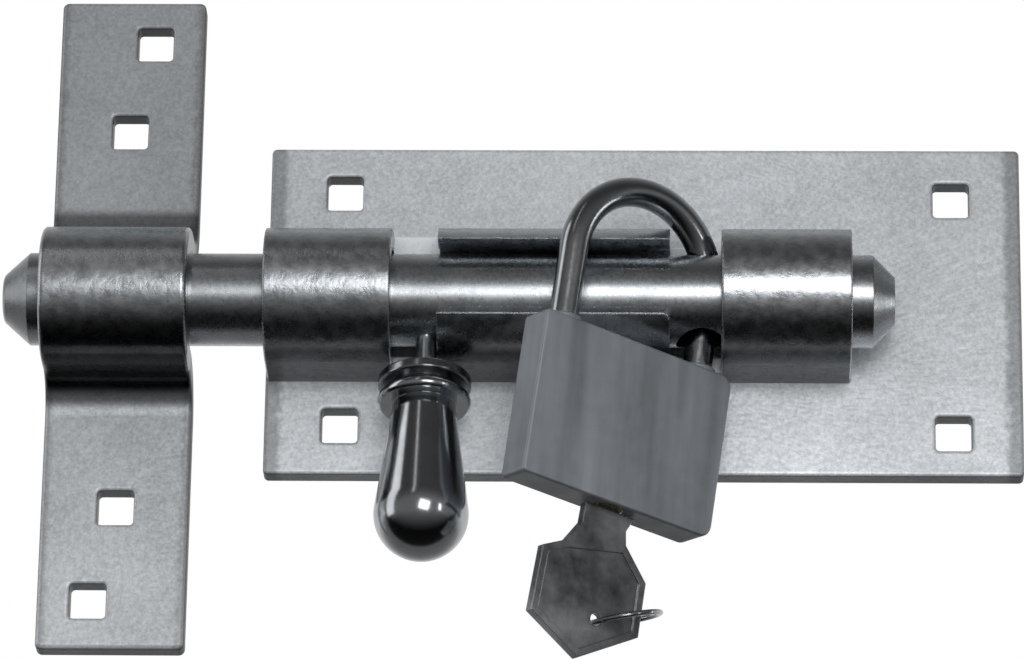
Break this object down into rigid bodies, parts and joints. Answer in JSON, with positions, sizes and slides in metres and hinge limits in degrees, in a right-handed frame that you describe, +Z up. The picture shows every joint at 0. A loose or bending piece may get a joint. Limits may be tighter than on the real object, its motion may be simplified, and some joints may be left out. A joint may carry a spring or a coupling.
{
  "type": "door bolt",
  "caption": "Round sliding door bolt in a slotted channel on a square-holed plate, with an omega strike strap and a keyed padlock through the bolt.",
  "frame": {"origin": "centre of the mounting plate's back face, on the door's surface", "axes": "+X along the bolt towards its tail, +Y into the door, +Z up"},
  "size_m": [0.2417, 0.0477, 0.1769],
  "materials": {
    "galvanised_steel": "galvanised, mottled",
    "zinc_bar": "bright zinc on turned bar",
    "polished_steel": "polished, dark reflections",
    "shackle_steel": "plated, polished",
    "satin_grey": "satin grey, brushed up and down",
    "nickel_key": "dull nickel",
    "lock_brass": "turned",
    "spring_steel": "bright wire"
  },
  "bodies": {
    "frame": {"back_plate": "galvanised_steel", "guide_channel": "galvanised_steel", "strike_strap": "galvanised_steel"},
    "bolt": {"bolt_rod": "zinc_bar", "handle_stem": "polished_steel", "knob_washer": "zinc_bar", "handle_knob": "polished_steel"},
    "shackle": {"shackle": "shackle_steel"},
    "padlock": {"lock_body": "satin_grey", "latch_bolts": "lock_brass", "shackle_spring": "spring_steel", "driver_pins": "lock_brass", "pin_springs": "spring_steel", "side_plugs": "lock_brass", "plug_retainer": "spring_steel"},
    "cylinder": {"lock_driver": "lock_brass", "lock_plug": "lock_brass", "key_pins": "lock_brass", "padlock_key": "nickel_key"},
    "key_ring": {"key_ring": "spring_steel"}
  },
  "joints": [
    {"name": "bolt_turn", "type": "hinge", "parent": "frame", "child": "bolt", "pos_m": [0, -0.0175, -0.0028], "axis": [-1, 0, 0], "range_deg": [-2, 24]},
    {"name": "padlock_swing", "type": "hinge", "parent": "bolt", "child": "shackle", "pos_m": [0.0148, -0.0171, -0.0028], "axis": [0.1306, -0.0246, 0.9911], "range_deg": [0, 22]},
    {"name": "shackle_play", "type": "slide", "parent": "shackle", "child": "padlock", "axis": [0.1306, -0.0246, 0.9911], "range_m": [0, 0.0005], "deforming": ["shackle_spring"]},
    {"name": "key_turn", "type": "hinge", "parent": "padlock", "child": "cylinder", "pos_m": [-0.00834, -0.02718, -0.05892], "axis": [0.1306, -0.0246, 0.9911], "range_deg": [0, 90]},
    {"name": "ring_swing", "type": "hinge", "parent": "cylinder", "child": "key_ring", "pos_m": [-0.01098, -0.0258, -0.08634], "axis": [0.5863, -0.8043, -0.0972], "range_deg": [-112, 5]}
  ]
}
